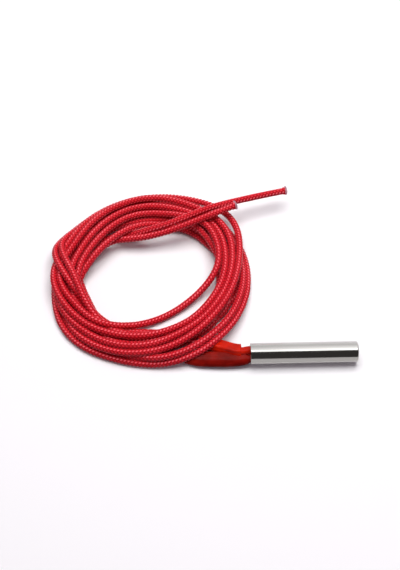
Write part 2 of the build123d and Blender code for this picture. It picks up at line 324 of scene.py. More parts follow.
coil = {  # lengths in millimetres
    "centre": (-43.3, 27.5),
    "startAngle": 290.0,  # degrees; the turns run clockwise from here, seen from above
    "stepsPerTurn": 48,
    "diameter": 2.0,
    "lowest": 1.07,  # for the middle of a lead
    "innerHold": 2,
    "fixedHold": 9,  # never moves
    "linePieces": 5,  # edges of the line for each of its points
}
settling = {
    "rounds": 260,
    "lookAgain": 20,  # rounds between two searches for stretches near each other
    "near": 1.8,  # diameters
    "neighbours": 6,  # stretches along one lead that never push each other
    "push": 0.6,  # share of an overlap that one round takes away
    "smooth": 0.18,
    "pull": 0.10,  # back to the wanted place
    "pullShares": (1, 1, 0.7),  # weaker in height
    "sink": 0.012,  # millimetres a round, less the firmer the hold, and none from a hold of 1
}
leadA = {
    "name": "leadA",
    "root": [
        (-0.01255, 0.0010, 0.0037), (-0.0156, 0.0009, 0.0035), (-0.0172, 0.0006, 0.0031),
        (-0.0195, 0.0010, 0.0029), (-0.0238, 0.0030, 0.0023), (-0.0282, 0.0041, 0.0017),
        (-0.0320, 0.0053, 0.0015)],
    "rootThickness": 3.2,  # millimetres, with its sleeves on
    "firstTurns": [
        (0.02, 23.6, 1.1, 0.3), (0.06, 21.6, 1.0, 0.3), (0.12, 21.6, 1.0, 0.5), (0.20, 22.2, 1.0, 1),
        (0.26, 21.8, 2.6, 1), (0.313, 20.5, 4.4, 1), (0.355, 19.9, 5.0, 1), (0.402, 19.7, 5.0, 1),
        (0.457, 20.4, 5.0, 1), (0.511, 21.6, 5.0, 1), (0.557, 21.9, 5.0, 1), (0.597, 21.9, 5.2, 1),
        (0.64, 22.8, 6.0, 1), (0.686, 23.7, 6.5, 1), (0.723, 23.0, 6.6, 1)],
    "innerTurn": [
        (-0.0221, 0.0334, 0.0060), (-0.0228, 0.0296, 0.0052), (-0.0249, 0.0260, 0.0038),
        (-0.0276, 0.0227, 0.0027), (-0.0315, 0.0190, 0.0018), (-0.0359, 0.0156, 0.0012),
        (-0.0408, 0.0129, 0.0011), (-0.0459, 0.0111, 0.0015), (-0.0504, 0.0099, 0.0027),
        (-0.0549, 0.0096, 0.0040), (-0.0579, 0.0105, 0.0048)],
    "lastTurns": [
        (1.185, 22.8, 5.0, 1), (1.205, 23.1, 5.0, 1), (1.237, 23.9, 4.8, 1), (1.277, 25.7, 4.5, 1),
        (1.31, 26.8, 4.1, 1), (1.335, 26.3, 4.0, 1), (1.369, 24.7, 5.0, 1), (1.411, 24.9, 5.4, 1),
        (1.456, 25.7, 5.6, 1), (1.5, 26.3, 5.8, 1), (1.556, 27.2, 6.0, 1), (1.593, 27.1, 6.0, 1),
        (1.633, 27.0, 5.9, 1), (1.688, 28.0, 5.2, 1), (1.727, 27.2, 5.0, 1), (1.768, 25.2, 5.0, 1),
        (1.820, 23.5, 5.0, 1), (1.884, 22.4, 5.0, 1), (1.944, 22.4, 5.0, 1), (1.994, 23.2, 5.0, 1),
        (2.035, 24.4, 5.0, 1), (2.07, 25.6, 5.0, 1), (2.123, 26.3, 4.2, 1), (2.183, 26.8, 3.4, 1),
        (2.247, 27.6, 2.8, 1), (2.284, 27.6, 2.4, 0.7), (2.36, 26.0, 1.6, 0.3), (2.5, 26.0, 1.2, 0.3),
        (2.65, 25.0, 1.2, 0.3), (2.8, 24.4, 1.1, 0.3), (2.9, 22.6, 1.0, 0.3), (2.98, 20.8, 1.0, 0.3),
        (3.054, 18.6, 1.0, 0.7), (3.103, 18.9, 1.2, 0.7), (3.137, 19.9, 1.8, 0.7), (3.167, 20.4, 2.6, 0.8),
        (3.193, 20.6, 3.4, 1), (3.218, 20.8, 4.2, 1), (3.242, 21.3, 5.0, 1), (3.269, 22.4, 5.8, 1),
        (3.294, 23.9, 6.0, 1), (3.319, 26.2, 5.6, 1), (3.340, 28.4, 4.6, 1), (3.358, 29.6, 3.2, 1),
        (3.375, 30.2, 2.0, 1), (3.41, 29.2, 1.2, 1), (3.46, 29.4, 1.0, 0.6), (3.56, 29.2, 1.0, 0.3),
        (3.66, 29.6, 1.0, 0.5), (3.754, 29.3, 1.0, 8), (3.801, 29.0, 1.2, 8), (3.848, 29.0, 2.2, 8),
        (3.894, 29.3, 3.2, 8), (3.941, 30.1, 3.8, 8), (3.977, 30.5, 3.0, 4), (4.009, 29.9, 2.0, 4),
        (4.039, 29.4, 1.1, 4), (4.08, 28.8, 1.0, 4), (4.122, 28.8, 1, 8), (4.157, 29.5, 1, 8),
        (4.18, 29.7, 1, 8), (4.199, 29.7, 1, 8), (4.217, 29.7, 1, 8), (4.25, 28.7, 1, 8),
        (4.30, 27.8, 1.0, 4), (4.38, 27.4, 2.6, 0.3), (4.5, 24.6, 3.0, 0.3), (4.65, 24.2, 3.0, 0.3),
        (4.8, 24.2, 2.8, 0.3), (4.9, 23.6, 2.8, 0.3), (5.0, 23.0, 2.8, 0.3), (5.12, 23.0, 2.8, 0.3),
        (5.20, 23.2, 2.9, 0.6), (5.234, 23.6, 3.2, 0.8), (5.268, 24.6, 3.0, 0.8), (5.303, 25.7, 2.8, 0.8),
        (5.335, 26.3, 2.4, 0.5), (5.42, 24.4, 3.0, 0.3), (5.5, 23.2, 3.0, 0.3), (5.65, 22.2, 3.0, 0.3),
        (5.8, 22.2, 2.9, 0.3), (5.9, 22.2, 2.6, 0.3), (6.0, 22.4, 2.8, 0.3), (6.1, 22.4, 2.9, 0.3),
        (6.2, 22.6, 3.0, 0.3), (6.29, 22.9, 3.0, 0.5), (6.33, 23.0, 3.0, 0.8)],
    "end": [
        (-0.0628, 0.0378, 0.0026), (-0.0579, 0.0414, 0.0019), (-0.0546, 0.0430, 0.0017),
        (-0.0515, 0.0429, 0.0023), (-0.0483, 0.0425, 0.0036), (-0.0448, 0.0423, 0.0054),
        (-0.0387, 0.0427, 0.0074), (-0.0324, 0.0453, 0.0079), (-0.0262, 0.0484, 0.0078),
        (-0.0199, 0.0510, 0.0072), (-0.0139, 0.0529, 0.0068), (-0.0076, 0.0547, 0.0066),
        (-0.0016, 0.0562, 0.0064)],
    "exit": (-0.015, 0.001, 0.0037),
    "standIns": ["lead_coil", "lead_inner_turn", "lead_a_root", "lead_a_end"],
}
leadB = {
    "name": "leadB",
    "root": [
        (-0.01255, -0.0010, 0.0023), (-0.0156, -0.0011, 0.0022), (-0.0174, -0.00145, 0.0018),
        (-0.0202, -0.0016, 0.0017), (-0.0255, -0.0014, 0.0016), (-0.0306, -0.0009, 0.0013),
        (-0.0348, 0.0010, 0.0013)],
    "rootThickness": 2.6,
    "firstTurns": [
        (0.03, 25.0, 1.0, 0.3), (0.065, 23.7, 1.0, 0.3), (0.12, 23.3, 1.0, 0.3), (0.20, 23.3, 1.1, 0.3),
        (0.27, 23.2, 2.8, 0.3), (0.328, 22.6, 4.6, 1), (0.379, 22.0, 5.0, 1), (0.426, 22.5, 5.0, 1),
        (0.470, 23.4, 5.0, 1), (0.516, 24.4, 5.0, 1), (0.556, 24.8, 5.0, 1), (0.596, 24.8, 5.0, 1),
        (0.631, 24.9, 5.0, 1), (0.684, 26.0, 5.0, 1), (0.728, 24.6, 5.0, 1), (0.775, 23.0, 5.0, 1),
        (0.825, 21.8, 4.8, 1), (0.895, 20.7, 4.8, 1), (0.958, 20.8, 4.8, 1), (1.009, 20.9, 4.7, 1),
        (1.053, 21.7, 4.6, 1), (1.093, 22.5, 4.6, 1), (1.132, 23.4, 4.6, 1), (1.173, 24.8, 4.4, 1),
        (1.213, 26.0, 4.4, 1), (1.250, 26.9, 4.3, 1), (1.286, 27.5, 4.2, 1), (1.335, 27.8, 4.0, 1),
        (1.37, 27.4, 3.8, 0.5), (1.42, 27.4, 3.2, 0.4), (1.5, 27.9, 4.0, 0.6), (1.55, 28.7, 4.0, 0.8),
        (1.589, 29.5, 4.0, 1), (1.640, 30.8, 4.0, 1), (1.681, 32.4, 4.0, 1), (1.714, 31.4, 4.0, 1),
        (1.733, 29.8, 4.2, 1), (1.776, 27.0, 5.0, 1), (1.821, 25.2, 5.4, 1), (1.875, 24.5, 5.6, 1),
        (1.923, 24.4, 5.6, 1), (1.964, 25.0, 5.2, 1), (2.0, 25.7, 4.8, 1), (2.037, 26.6, 4.3, 1),
        (2.086, 27.6, 3.7, 1), (2.137, 27.9, 3.1, 1), (2.2, 28.2, 2.5, 1), (2.28, 26.0, 1.6, 0.3),
        (2.4, 25.6, 1.1, 0.3), (2.5, 24.0, 1.0, 0.3), (2.65, 23.0, 1.0, 0.3), (2.8, 22.4, 1.0, 0.3),
        (2.9, 21.6, 1.6, 0.3), (2.98, 21.2, 2.6, 0.3), (3.053, 20.6, 2.9, 1), (3.088, 20.8, 3.0, 1),
        (3.122, 21.3, 3.2, 1), (3.155, 21.4, 3.6, 1), (3.177, 21.3, 4.2, 1), (3.199, 21.1, 5.0, 1),
        (3.224, 21.0, 5.8, 1), (3.251, 21.1, 6.4, 1), (3.279, 21.5, 6.9, 1), (3.307, 22.5, 6.9, 1),
        (3.332, 24.7, 6.2, 1), (3.354, 27.2, 5.2, 1), (3.373, 29.1, 4.1, 1), (3.389, 28.9, 3.1, 1),
        (3.402, 28.4, 2.6, 1), (3.44, 28, 2.6, 0.5), (3.5, 27.8, 2.8, 0.3), (3.6, 27.8, 2.8, 0.3),
        (3.7, 28.2, 2.2, 0.4), (3.775, 28.2, 1.8, 1), (3.825, 27.5, 3.0, 1), (3.874, 27.7, 4.3, 1),
        (3.914, 28.3, 4.9, 1), (3.958, 28.9, 5.1, 1), (3.994, 28.9, 4.4, 1), (4.026, 28.8, 3.4, 1),
        (4.057, 28.2, 3.0, 1), (4.12, 26.6, 1.6, 0.3), (4.2, 26.0, 1.0, 0.3), (4.3, 25.0, 1.0, 0.3),
        (4.40, 22.6, 2.2, 0.3), (4.46, 21.4, 2.9, 0.3), (4.532, 20.6, 3.0, 1), (4.58, 21.0, 3.0, 0.8),
        (4.65, 22.3, 2.4, 1), (4.72, 22.8, 1.7, 1), (4.8, 22.8, 1.2, 0.6), (4.9, 23.4, 1.0, 0.3),
        (5.0, 24.4, 1.0, 0.3), (5.1, 24.6, 1.0, 0.3), (5.2, 22.4, 1.4, 0.3), (5.28, 21.4, 2.2, 0.8),
        (5.319, 19.7, 3.4, 1), (5.355, 17.4, 5.2, 1), (5.387, 16.8, 5.2, 1), (5.428, 16.4, 5.2, 1),
        (5.466, 16.5, 5.2, 1), (5.5, 17.1, 5.0, 1), (5.53, 17.7, 4.7, 1), (5.557, 18.3, 4.2, 1),
        (5.6, 20.0, 2.4, 0.8), (5.640, 21.6, 1.2, 1), (5.694, 21.9, 1.2, 1), (5.740, 22.5, 1.2, 1),
        (5.8, 23.2, 1.0, 0.3), (5.9, 23.2, 1.0, 0.3), (6.0, 23.0, 1.0, 0.3), (6.1, 22.6, 1.0, 0.3),
        (6.2, 21.6, 1.4, 0.3), (6.27, 20.9, 2.4, 0.4), (6.305, 20.8, 2.6, 0.8)],
    "end": [
        (-0.0639, 0.0317, 0.0026), (-0.0608, 0.0350, 0.0028), (-0.0569, 0.0391, 0.0028),
        (-0.0539, 0.0406, 0.0033), (-0.0504, 0.0405, 0.0038), (-0.0448, 0.0403, 0.0048),
        (-0.0388, 0.0414, 0.0056), (-0.0328, 0.0426, 0.0072), (-0.0272, 0.0448, 0.0080),
        (-0.0221, 0.0471, 0.0082), (-0.0174, 0.0493, 0.0081)],
    "exit": (-0.015, -0.001, 0.0023),
    "standIns": ["lead_coil", "lead_b_root", "lead_b_end"],
}


tiny = 1e-6


def coilRun(keys):  # the turns through the keys, smooth from one to the next
    table = np.array(keys, float)
    gaps = np.diff(table, axis=0) / np.diff(table[:, :1], axis=0)
    slopes = np.vstack([gaps[:1], (gaps[:-1] + gaps[1:]) / 2, gaps[-1:]])
    points, holds = [], []
    for turn in np.arange(table[0, 0], table[-1, 0] + tiny, 1 / coil["stepsPerTurn"]):
        i = min(max(int(np.searchsorted(table[:, 0], turn, side="right")) - 1, 0), len(table) - 2)
        span = table[i + 1, 0] - table[i, 0]
        t = min((turn - table[i, 0]) / span, 1)
        place = ((2 * t**3 - 3 * t**2 + 1) * table[i] + (t**3 - 2 * t**2 + t) * span * slopes[i]
                 + (3 * t**2 - 2 * t**3) * table[i + 1] + (t**3 - t**2) * span * slopes[i + 1])
        _, radius, height, _ = place
        angle = math.radians(coil["startAngle"] - 360 * turn)
        points.append((coil["centre"][0] + radius * math.cos(angle),
                       coil["centre"][1] + radius * math.sin(angle), height))
        holds.append(table[i, 3] + (table[i + 1, 3] - table[i, 3]) * t)
    return points, holds


def layOut(lead):  # every point of one lead in millimetres, with its hold and its thickness
    points, holds, thickness = [], [], []
    for part in ("root", "firstTurns", "innerTurn", "lastTurns", "end"):
        if part not in lead:
            continue
        if part in ("firstTurns", "lastTurns"):
            run, runHolds = coilRun(lead[part])
        else:
            run = [tuple(1000 * c for c in point) for point in lead[part]]
            runHolds = [coil["innerHold"] if part == "innerTurn" else coil["fixedHold"]] * len(run)
        points += run
        holds += runHolds
        thickness += [lead["rootThickness"] if part == "root" else coil["diameter"]] * len(run)
    return np.array(points), np.array(holds), np.array(thickness)


def nearPairs(places, starts, owner):  # stretches that may touch, each by the number of its first point
    centres = (places[starts] + places[starts + 1]) / 2
    halves = np.linalg.norm(places[starts + 1] - places[starts], axis=1) / 2
    apart = np.linalg.norm(centres[:, None] - centres[None], axis=2)
    reach = halves[:, None] + halves[None] + settling["near"] * coil["diameter"]
    one, other = (starts[found] for found in np.where(np.triu(apart < reach, 1)))
    joined = (owner[one] == owner[other]) & (np.abs(one - other) < settling["neighbours"])
    return one[~joined], other[~joined]


def closest(places, one, other):  # how far along two stretches they come nearest, and the gap there
    along, across = places[one + 1] - places[one], places[other + 1] - places[other]
    between = places[one] - places[other]
    aa, bb, ab = (along**2).sum(1), (across**2).sum(1), (along * across).sum(1)
    ac, bc = (along * between).sum(1), (across * between).sum(1)
    area = np.maximum(aa * bb - ab * ab, 1e-9)  # not nothing, even where they are parallel
    s = np.clip((ab * bc - ac * bb) / area, 0, 1)
    t = np.clip((ab * s + bc) / bb, 0, 1)
    s = np.clip((ab * t - ac) / aa, 0, 1)
    return s, t, between + along * s[:, None] - across * t[:, None]


def settle(runs):  # leads push each other apart, bend smoothly, sink, and stay above the table
    places, holds, thickness = (np.concatenate(parts) for parts in zip(*runs))
    owner = np.concatenate([np.full(len(run[0]), i) for i, run in enumerate(runs)])
    wanted = places.copy()
    free = (holds < coil["fixedHold"])[:, None] * 1.0
    grip = np.minimum(holds, 1)[:, None]
    ease = holds ** -2.0
    starts = np.where(owner[:-1] == owner[1:])[0]
    middles = np.where(owner[:-2] == owner[2:])[0] + 1
    for step in range(settling["rounds"]):
        if step % settling["lookAgain"] == 0:
            one, other = nearPairs(places, starts, owner)
            thick = (thickness[one] + thickness[other]) / 2
        s, t, gap = closest(places, one, other)
        size = np.maximum(np.linalg.norm(gap, axis=1), tiny)
        hit = size < thick
        gap, size, s, t, i, j = gap[hit], size[hit], s[hit], t[hit], one[hit], other[hit]
        push = gap / size[:, None] * (settling["push"] * (thick[hit] - size))[:, None]
        share = (ease[i] / (ease[i] + ease[j]))[:, None]
        moved, weight = np.zeros_like(places), np.zeros(len(places))
        for where, part, shift in ((i, 1 - s, push * share), (i + 1, s, push * share),
                                   (j, 1 - t, push * (share - 1)), (j + 1, t, push * (share - 1))):
            np.add.at(moved, where, shift * part[:, None])
            np.add.at(weight, where, part)
        places += moved / np.maximum(weight, 1)[:, None] * free
        bend, strain = np.zeros_like(places), np.zeros_like(places)
        bend[middles] = (places[middles - 1] + places[middles + 1]) / 2 - places[middles]
        strain[middles] = bend[middles] - (bend[middles - 1] + bend[middles + 1]) / 2
        places += settling["smooth"] * strain * free
        places += settling["pull"] * grip * (wanted - places) * free * settling["pullShares"]
        places[:, 2] -= settling["sink"] * (free * (1 - grip))[:, 0]
        places[:, 2] = np.where(free[:, 0] > 0, np.maximum(places[:, 2], coil["lowest"]), places[:, 2])
    return [places[owner == i] / 1000 for i in range(len(runs))]


def leadLine(name, points):  # a smooth line led by the points, as a mesh of short edges
    curve = bpy.data.curves.new(name, "CURVE")
    curve.dimensions = "3D"
    curve.resolution_u = coil["linePieces"]
    spline = curve.splines.new("NURBS")
    spline.points.add(len(points) - 1)
    for control, point in zip(spline.points, points):
        control.co = (*point, 1)
    spline.order_u = 3
    spline.use_endpoint_u = True
    line = addObject(name, curve)
    mesh = bpy.data.meshes.new_from_object(line.evaluated_get(bpy.context.evaluated_depsgraph_get()))
    bpy.data.objects.remove(line)
    places = np.zeros(3 * len(mesh.vertices))
    mesh.vertices.foreach_get("co", places)
    return mesh, places.reshape(-1, 3)


settledRuns = settle([layOut(leadA), layOut(leadB)])
for lead, run in zip((leadA, leadB), settledRuns):
    lead["lineMesh"], lead["line"] = leadLine(lead["name"] + "Line", run)
    length = float(np.linalg.norm(np.diff(lead["line"], axis=0), axis=1).sum())
    print(lead["name"], "line", round(length, 4), "m, top at", round(float(lead["line"][:, 2].max()), 4))


# Braid: two sets of yarns, wound opposite ways and woven over and under each other, on a tube painted dark
# as shade

braid = {
    "lay": 0.0084,  # length of one turn of a yarn
    "carriers": 8,  # yarns in each set
    "radius": 0.00081,
    "yarnWidth": 0.00054,
    "yarnPoints": 3,  # across its width
    "wave": 0.00012,  # how far a yarn rises and dips at a crossing
    "waveGain": 1.414,  # a crossing is beside the top of the wave, so the top is higher
    "waveCrossings": 4,  # over two yarns of the other set, then under two
    "mapGap": 4.0,  # between two yarns in the UV map
    "crown": 0.00009,  # of a yarn's own round top
    "samplesPerCrossing": 2,
    "tubeRadius": 0.00076,
    "tubeSides": 12,
    "tubeStep": 0.00075,
    "flare": 0.00028,  # how far the braid opens at the cut end
    "flareLength": 0.0010,
    "riseRange": (-1.0, 2.1),  # in waves, from the darkest painted shade to the brightest painted highlight
    "yarnColoursAndLight": {  # the yarn's red, with painted shade low in the weave and painted highlights on its tops
        # The Right set's tops are painted brighter than the Left's, as a painted glint on the set that
        # catches the light
        "Right": [
            (0.0, linear(98, 0, 4)), (0.42, linear(182, 14, 26)),
            (0.75, linear(220, 36, 50)), (1.0, linear(255, 124, 134))],
        "Left": [
            (0.0, linear(94, 0, 4)), (0.45, linear(172, 6, 18)),
            (0.78, linear(208, 20, 34)), (1.0, linear(240, 68, 80))]},
    # the core's colours: painted shade for the gaps between the yarns
    "coreDeepShadeColour": linear(96, 0, 8),
    "coreShadeColour": linear(84, 0, 8),
}


def tubeGroup():
    tree, given = startTree("tube", {"Radius": float, "Sides": int, "Step": float, "Material": None})
    path = put(tree, "GeometryNodeMeshToCurve", {"Mesh": given["Geometry"]})
    path = put(tree, "GeometryNodeResampleCurve", {"Curve": path, "Length": given["Step"]}, mode="LENGTH")
    endTree(tree, sweep(tree, path, given["Radius"], given["Sides"]), given["Material"])
    return tree


def yarnGroup():  # one set of yarns: flat ribbons, wound round the line and raised where they pass over
    tree, given = startTree("yarns", {
        "Carriers": int, "Lay": float, "Radius": float, "Width": float, "Wave": float, "Crown": float,
        "Hand": float, "Samples": int, "Flare": float, "Flare Length": float, "Material": None})
    path = put(tree, "GeometryNodeMeshToCurve", {"Mesh": given["Geometry"]})
    length = put(tree, "GeometryNodeCurveLength", {"Curve": path})
    crossings = times(tree, given["Carriers"], 2.0)
    step = calc(tree, "DIVIDE", given["Lay"], times(tree, crossings, given["Samples"]))
    count = calc(tree, "FLOOR", calc(tree, "DIVIDE", length, step))
    run = times(tree, count, step)

    # The ribbons, each at the height of its carrier's number until it is wound
    ribbon = put(tree, "GeometryNodeMeshGrid", {
        "Size X": run, "Size Y": given["Width"],
        "Vertices X": plus(tree, count, 1.0), "Vertices Y": braid["yarnPoints"]})
    carriers = put(tree, "GeometryNodeMeshLine", {"Count": given["Carriers"], "Offset": (0, 0, 1)})
    ribbons = put(tree, "GeometryNodeInstanceOnPoints", {"Points": carriers, "Instance": ribbon})
    ribbons = put(tree, "GeometryNodeRealizeInstances", {"Geometry": ribbons})
    forth, side, level = split(tree, put(tree, "GeometryNodeInputPosition"))
    carrier = calc(tree, "ROUND", level)
    reach = plus(tree, forth, times(tree, run, 0.5))

    # Where each point goes: along the line and round it
    lean = calc(tree, "ARCTAN2", times(tree, given["Radius"], math.tau), given["Lay"])
    phase = plus(tree, reach, times(tree, step, 0.5))
    turned = times(tree, calc(tree, "DIVIDE", phase, given["Lay"]), math.tau)
    angle = plus(tree, times(tree, turned, given["Hand"]),
                 times(tree, carrier, calc(tree, "DIVIDE", math.tau, given["Carriers"])),
                 calc(tree, "DIVIDE", times(tree, side, calc(tree, "COSINE", lean)), given["Radius"]))
    away = times(tree, side, calc(tree, "SINE", lean), given["Hand"])
    place = calc(tree, "SUBTRACT", reach, away)

    # How far it stands out: the weave, the yarn's own round top, and the flare at the cut end
    passed = calc(tree, "DIVIDE", times(tree, turned, crossings), braid["waveCrossings"])
    stagger = calc(tree, "SUBTRACT", times(tree, carrier, math.pi), times(tree, given["Hand"], math.pi / 4))
    weave = calc(tree, "COSINE", plus(tree, passed, stagger))
    weave = times(tree, weave, braid["waveGain"], given["Hand"])
    edge = calc(tree, "DIVIDE", side, times(tree, given["Width"], 0.5))
    dome = calc(tree, "SUBTRACT", 1.0, times(tree, edge, edge))
    rise = plus(tree, times(tree, weave, given["Wave"]), times(tree, dome, given["Crown"]))
    flareStart = calc(tree, "SUBTRACT", length, given["Flare Length"])
    nearEnd = spread(tree, place, 0.0, 1.0, source=(flareStart, length), interpolation_type="SMOOTHSTEP")
    out = plus(tree, given["Radius"], rise, times(tree, nearEnd, given["Flare"]))

    sample = sampleCurve(tree, path, place)
    crosswise = aim(tree, "CROSS_PRODUCT", sample["Normal"], sample["Tangent"])
    ribbonMap = combine(tree, calc(tree, "DIVIDE", reach, given["Lay"]),
                        plus(tree, edge, times(tree, carrier, braid["mapGap"])))
    stored = put(tree, "GeometryNodeStoreNamedAttribute", {
        "Geometry": ribbons, "Name": "UVMap", "Value": ribbonMap}, data_type="FLOAT2", domain="CORNER")
    stored = put(tree, "GeometryNodeStoreNamedAttribute", {
        "Geometry": stored, "Name": "rise", "Value": calc(tree, "DIVIDE", rise, given["Wave"])},
        data_type="FLOAT", domain="POINT")
    woven = put(tree, "GeometryNodeSetPosition", {
        "Geometry": stored,
        "Position": placeRound(tree, sample["Position"], sample["Normal"], crosswise, out, angle)})
    endTree(tree, woven, given["Material"])
    return tree


yarnMaterials = {}
for label, colours in braid["yarnColoursAndLight"].items():
    yarnMaterials[label], tree, shader = startMaterial("redBraid" + label)
    rise = addNode(tree, "ShaderNodeAttribute", attribute_name="rise").outputs["Fac"]
    # The ramp paints shade low in the weave and highlights on its tops, by the weave's rise; threads and
    # patches vary it at random
    height = spread(tree, rise, 0.0, 1.0, source=braid["riseRange"])
    threads = grain(tree, scale=1.0, detail=2, stretch=(6, 9, 1), source="UV")
    patches = grain(tree, scale=90, detail=2)
    shade = times(tree, height, spread(tree, threads, 0.86, 1.1), spread(tree, patches, 0.95, 1.05))
    setInputs(tree, shader, {
        "Base Color": ramp(tree, shade, colours), "Roughness": spread(tree, threads, 0.30, 0.42),
        "Specular IOR Level": 0.12, "Specular Tint": (1, 0.7, 0.72, 1),
        "Normal": bump(tree, threads, strength=0.35, depth=0.00004)})
# The core shows in the gaps between yarns; its dark red is painted shade there, mixed at random by noise
tubeMaterial, tree, shader = startMaterial("braidShadedCore")
ground = blendColours(tree, grain(tree, scale=2500, detail=2), braid["coreShadeColour"], braid["coreDeepShadeColour"])
setInputs(tree, shader, {
    "Base Color": ground, "Roughness": 0.7, "Specular IOR Level": 0.1,
    "Normal": bump(tree, grain(tree, scale=4000, detail=2), strength=0.3, depth=0.00005)})

tubeTree, yarnTree = tubeGroup(), yarnGroup()
for lead in (leadA, leadB):
    name = lead["name"]
    tube = grow(name + "Core", tubeTree, lead["lineMesh"].copy(), {
        "Radius": braid["tubeRadius"], "Sides": braid["tubeSides"], "Step": braid["tubeStep"],
        "Material": tubeMaterial})
    weaves = []
    for label, hand in (("Right", 1.0), ("Left", -1.0)):
        weaves.append(grow(name + "Yarns" + label, yarnTree, lead["lineMesh"].copy(), {
            "Carriers": braid["carriers"], "Lay": braid["lay"], "Radius": braid["radius"],
            "Width": braid["yarnWidth"], "Wave": braid["wave"], "Crown": braid["crown"], "Hand": hand,
            "Samples": braid["samplesPerCrossing"], "Flare": braid["flare"],
            "Flare Length": braid["flareLength"], "Material": yarnMaterials[label]}))
    for made in (tube, *weaves):
        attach(made, "root")
        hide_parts(*lead["standIns"])
    lead["tube"], lead["weaves"] = tube, weaves
    print(name, "tube", len(tube.data.polygons), "yarns", [len(made.data.polygons) for made in weaves])


# Steel sheath and its closed tip

steel = {"colour": (0.555, 0.54, 0.525, 1), "roughness": (0.10, 0.16), "streaks": (60, 5000, 5000)}
steelMaterial, tree, shader = startMaterial("polishedSteel")
streaks = grain(tree, scale=1.0, detail=3, stretch=steel["streaks"])
setInputs(tree, shader, {
    "Base Color": steel["colour"], "Metallic": 1.0, "Roughness": spread(tree, streaks, *steel["roughness"]),
    "Normal": bump(tree, streaks, strength=0.05, depth=0.00001)})


# Materials of the pieces inside, and of the cut ends

plainLooks = {
    "firedCeramic": {
        "nodes": ["core", "tip_spacer", "mouth_bead"],
        "colours": (linear(238, 232, 220), linear(214, 206, 192)),
        "scale": 900, "roughness": 0.8, "metallic": 0.0, "depth": 0.00003},
    "darkCement": {
        "nodes": ["mouth_seal"], "colours": (linear(58, 44, 38), linear(32, 24, 22)),
        "scale": 2500, "roughness": 0.9, "metallic": 0.0, "depth": 0.0001},
    "pressedPowder": {
        "nodes": ["powder_fill"], "colours": (linear(220, 214, 204), linear(196, 188, 176)),
        "scale": 4000, "roughness": 0.95, "metallic": 0.0, "depth": 0.00005},
    "heatingWire": {
        "nodes": ["winding"], "colours": (linear(150, 142, 132), linear(112, 104, 96)),
        "scale": 1500, "roughness": 0.4, "metallic": 1.0, "depth": 0.00001},
    "plainNickel": {
        "nodes": ["terminal_pin_a", "terminal_pin_b", "crimp_ferrule_a", "crimp_ferrule_b"],
        "colours": (linear(205, 198, 184), linear(178, 170, 156)),
        "scale": 800, "roughness": 0.35, "metallic": 1.0, "depth": 0.00001},
    "tinnedCopper": {
        "nodes": ["conductor_a_root", "conductor_b_root", "conductor_a_tip", "conductor_b_tip"],
        "colours": (linear(205, 203, 200), linear(168, 164, 158)),
        "scale": 1800, "roughness": 0.35, "metallic": 1.0, "depth": 0.00002},
    "paleSilicone": {
        "nodes": ["insulation_a_tip", "insulation_b_tip"],
        "colours": (linear(236, 205, 205), linear(214, 160, 166)),
        "scale": 1800, "roughness": 0.5, "metallic": 0.0, "depth": 0.00003},
}


def paint(node, material):  # a better material in the node's own slots
    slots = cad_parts[node].data.materials
    for i in range(len(slots)):
        slots[i] = material


paint("sheath", steelMaterial)
paint("tip_disc", steelMaterial)
for name, look in plainLooks.items():
    material, tree, shader = startMaterial(name)
    specks = grain(tree, scale=look["scale"], detail=4)
    setInputs(tree, shader, {
        "Base Color": blendColours(tree, spread(tree, specks, 0.0, 1.0), *look["colours"]),
        "Roughness": look["roughness"], "Metallic": look["metallic"],
        "Normal": bump(tree, specks, strength=0.4, depth=look["depth"])})
    for node in look["nodes"]:
        paint(node, material)
print("steel, ceramics and metals painted")


# Sleeves: each follows its lead from a place along it. The section gives the radius round it, from the
# side away from the camera and up over the top, and the swell how much of that shape each place has.

sleeves = {
    "sleeveAInner": {
        "lead": leadA, "node": "sleeve_a_inner", "skin": "brightSilicone",
        "start": 0.0, "length": 0.0090, "radius": 0.00118, "wall": 0.00014,
        "section": [
            (0, 1.0), (0.1, 1.03), (0.24, 0.97), (0.35, 1.03), (0.5, 0.98), (0.6, 1.08), (0.8, 1.0),
            (1, 1.0)],
        "swell": [(0, 0.0), (0.3, 0.1), (0.5, 1.0), (1, 1.0)],
    },
    "sleeveAOuter": {
        "lead": leadA, "node": "sleeve_a_outer", "skin": "brightSilicone",
        "start": 0.0050, "length": 0.0126, "radius": 0.00145, "wall": 0.0002,
        "section": [
            (0, 1.1), (0.055, 1.36), (0.09, 1.5), (0.13, 1.24), (0.2, 1.0), (0.28, 1.06), (0.34, 1.12),
            (0.40, 1.0), (0.5, 1.12), (0.597, 1.05), (0.68, 0.9), (0.75, 0.92), (0.85, 0.98), (1, 1.12)],
        "swell": [(0, 1.0), (0.25, 0.95), (0.6, 1.0), (1, 0.8)],
    },
    "sleeveB": {
        "lead": leadB, "node": "sleeve_b", "skin": "shadedSilicone",
        "start": 0.0, "length": 0.0205, "radius": 0.00118, "wall": 0.00014,
        "section": [
            (0, 2.0), (0.07, 2.35), (0.14, 1.75), (0.25, 1.05), (0.36, 1.0), (0.45, 1.25), (0.53, 1.42),
            (0.60, 1.2), (0.75, 1.0), (0.88, 1.3), (1, 2.0)],
        "swell": [(0, 0.0), (0.132, 0.0), (0.175, 0.7), (0.36, 0.85), (0.55, 1.0), (0.8, 1.0), (1, 0.95)],
    },
}
sleeveSheet = {"points": (90, 73), "seam": 0.000002, "widestSection": 3.0}
sleeveLooks = {
    "brightSilicone": {"colours": (linear(212, 32, 8), linear(166, 16, 4)), "gloss": 0.12},
    # Sleeve B is the same silicone as A's; its darker colours are painted shade, from sleeve A and the coil
    # above it
    "shadedSilicone": {"colours": (linear(146, 22, 14), linear(100, 8, 5)), "gloss": 0.06},
}
sleeveMaterials = {}
